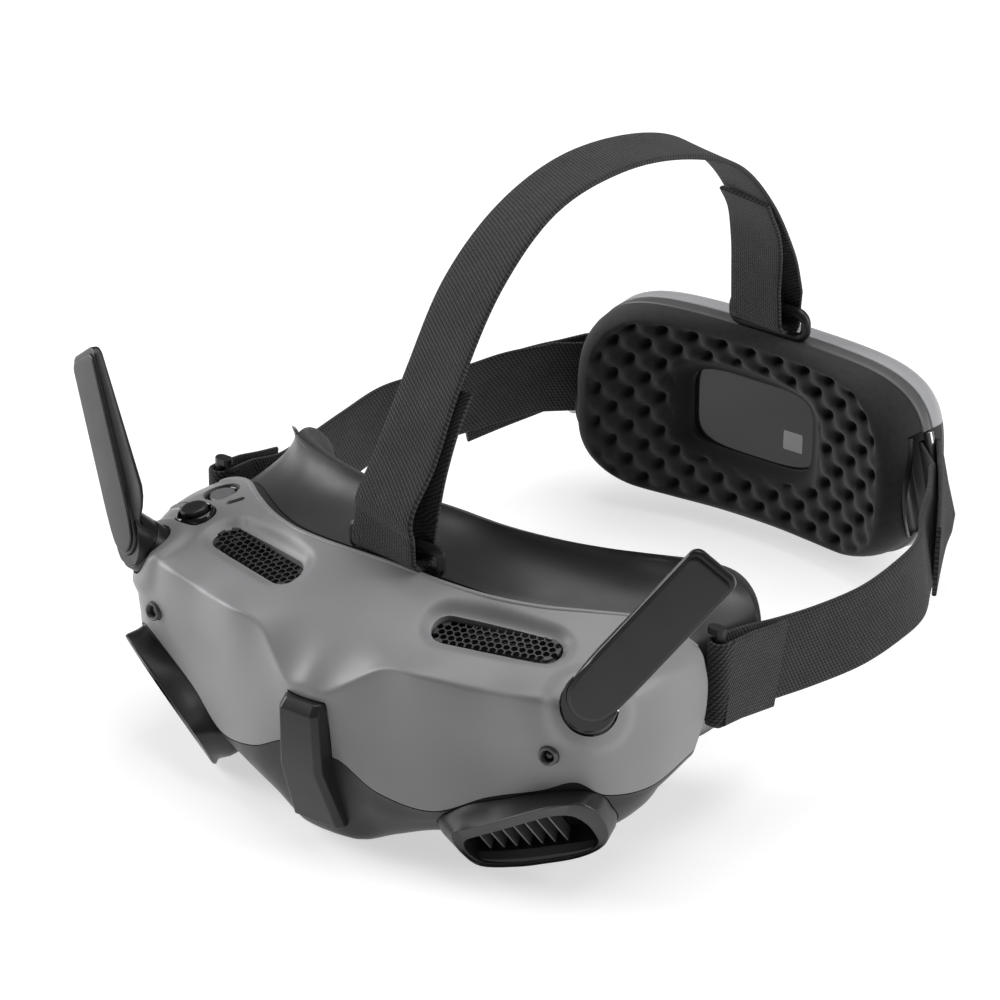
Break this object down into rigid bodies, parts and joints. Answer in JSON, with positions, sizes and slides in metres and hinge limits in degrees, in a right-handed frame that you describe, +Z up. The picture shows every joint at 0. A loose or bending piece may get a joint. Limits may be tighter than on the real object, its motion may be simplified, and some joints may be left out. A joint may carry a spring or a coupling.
{
  "type": "fpv goggles",
  "caption": "Head-worn video goggles with a hollow moulded visor, swivelling paddle antennas, elastic head straps and a padded battery box at the back of the head",
  "frame": {"origin": "centre of the bounding box's base: the middle of its width and length, on the surface it stands on", "axes": "+X is the wearer's left, +Y runs from the goggles' front back to the battery box, +Z is up; the goggles' face looks along -Y"},
  "size_m": [0.2174, 0.256, 0.1553],
  "materials": {
    "shell_grey": "fine matte moulded grey plastic",
    "trim_dark": "satin near-black moulded plastic",
    "mesh_black": "matte black honeycomb mesh",
    "gloss_black": "glossy black",
    "button_grey": "satin grey buttons",
    "face_dark": "satin dark face shell",
    "foam": "dark open-cell foam",
    "webbing": "woven charcoal elastic webbing",
    "lens_glass": "clear polished",
    "board_green": "circuit board",
    "aluminium": "plain extruded",
    "rear_grey": "light grey matte moulded plastic",
    "cell_wrap": "shrink wrap",
    "steel": "plain steel wire"
  },
  "bodies": {
    "goggles": {"front_shell": "shell_grey", "lower_trim": "trim_dark", "intake_duct_left": "trim_dark", "intake_duct_right": "trim_dark", "intake_fins_left": "trim_dark", "intake_fins_right": "trim_dark", "front_strap_hook": "trim_dark", "rear_strap_loop": "trim_dark", "strap_anchor_left": "trim_dark", "strap_anchor_right": "trim_dark", "battery_front_frame": "trim_dark", "top_grille_left": "mesh_black", "top_grille_right": "mesh_black", "sensor_bezel_left": "gloss_black", "sensor_bezel_right": "gloss_black", "sensor_lens_left": "gloss_black", "sensor_lens_right": "gloss_black", "joystick_ring": "gloss_black", "record_ring": "gloss_black", "battery_window": "gloss_black", "face_shell": "face_dark", "fan_housing": "face_dark", "face_foam": "foam", "optics_mask": "foam", "battery_pad": "foam", "top_strap": "webbing", "side_strap_left": "webbing", "side_strap_right": "webbing", "status_light": "lens_glass", "charge_lights": "lens_glass", "main_board": "board_green", "battery_board": "board_green", "heat_sink": "aluminium", "battery_rear_shell": "rear_grey", "battery_cell_left": "cell_wrap", "battery_cell_right": "cell_wrap", "battery_ring_left": "steel", "battery_ring_right": "steel", "charge_socket": "steel"},
    "antenna_left": {"antenna_collar_left": "trim_dark", "antenna_arm_left": "trim_dark", "antenna_cover_left": "trim_dark"},
    "antenna_right": {"antenna_collar_right": "trim_dark", "antenna_arm_right": "trim_dark", "antenna_cover_right": "trim_dark"},
    "stick_gimbal": {"joystick_gimbal": "steel"},
    "stick_stem": {"joystick_stem": "steel"},
    "stick_cap": {"joystick_cap": "button_grey"},
    "record_button": {"record_button": "button_grey"},
    "back_button": {"back_button": "button_grey"},
    "power_button": {"power_button": "button_grey"},
    "eyepiece_left": {"lens_barrel_left": "face_dark", "eyepiece_lens_left": "lens_glass", "display_panel_left": "gloss_black", "ipd_slider_left": "button_grey"},
    "eyepiece_right": {"lens_barrel_right": "face_dark", "eyepiece_lens_right": "lens_glass", "display_panel_right": "gloss_black", "ipd_slider_right": "button_grey"},
    "fan": {"fan_rotor": "face_dark"}
  },
  "joints": [
    {"name": "antenna_left_swivel", "type": "hinge", "parent": "goggles", "child": "antenna_left", "pos_m": [0.0732, -0.0997, 0.056], "axis": [0.4508, -0.6211, 0.6411], "range_deg": [-40, 40]},
    {"name": "antenna_right_swivel", "type": "hinge", "parent": "goggles", "child": "antenna_right", "pos_m": [-0.0732, -0.0997, 0.056], "axis": [-0.4508, -0.6211, 0.6411], "range_deg": [-40, 40]},
    {"name": "stick_tilt_across", "type": "hinge", "parent": "goggles", "child": "stick_gimbal", "pos_m": [-0.06762, -0.08483, 0.05781], "axis": [0.9798, -0.0245, 0.1986], "range_deg": [-6, 6], "stiffness_Nm_per_rad": 0.03},
    {"name": "stick_tilt_along", "type": "hinge", "parent": "stick_gimbal", "child": "stick_stem", "pos_m": [-0.06762, -0.08483, 0.05781], "axis": [0, 0.9925, 0.1225], "range_deg": [-6, 6], "stiffness_Nm_per_rad": 0.03},
    {"name": "stick_press", "type": "slide", "parent": "stick_stem", "child": "stick_cap", "axis": [0.2001, 0.12, -0.9724], "range_m": [0, 0.0005], "stiffness_N_per_m": 400},
    {"name": "record_press", "type": "slide", "parent": "goggles", "child": "record_button", "axis": [0.2001, 0.12, -0.9724], "range_m": [0, 0.0005], "stiffness_N_per_m": 400},
    {"name": "back_press", "type": "slide", "parent": "goggles", "child": "back_button", "axis": [0.4501, 0.15, -0.8803], "range_m": [0, 0.0005], "stiffness_N_per_m": 400},
    {"name": "power_press", "type": "slide", "parent": "goggles", "child": "power_button", "axis": [0, -1, 0], "range_m": [0, 0.0008], "stiffness_N_per_m": 400},
    {"name": "eyepiece_left_slide", "type": "slide", "parent": "goggles", "child": "eyepiece_left", "axis": [1, 0, 0], "range_m": [-0.004, 0.004]},
    {"name": "eyepiece_right_slide", "type": "slide", "parent": "goggles", "child": "eyepiece_right", "axis": [-1, 0, 0], "range_m": [-0.004, 0.004]},
    {"name": "fan_spin", "type": "hinge", "parent": "goggles", "child": "fan", "pos_m": [0, -0.1128, 0.041], "axis": [0, -1, 0], "continuous": true}
  ]
}
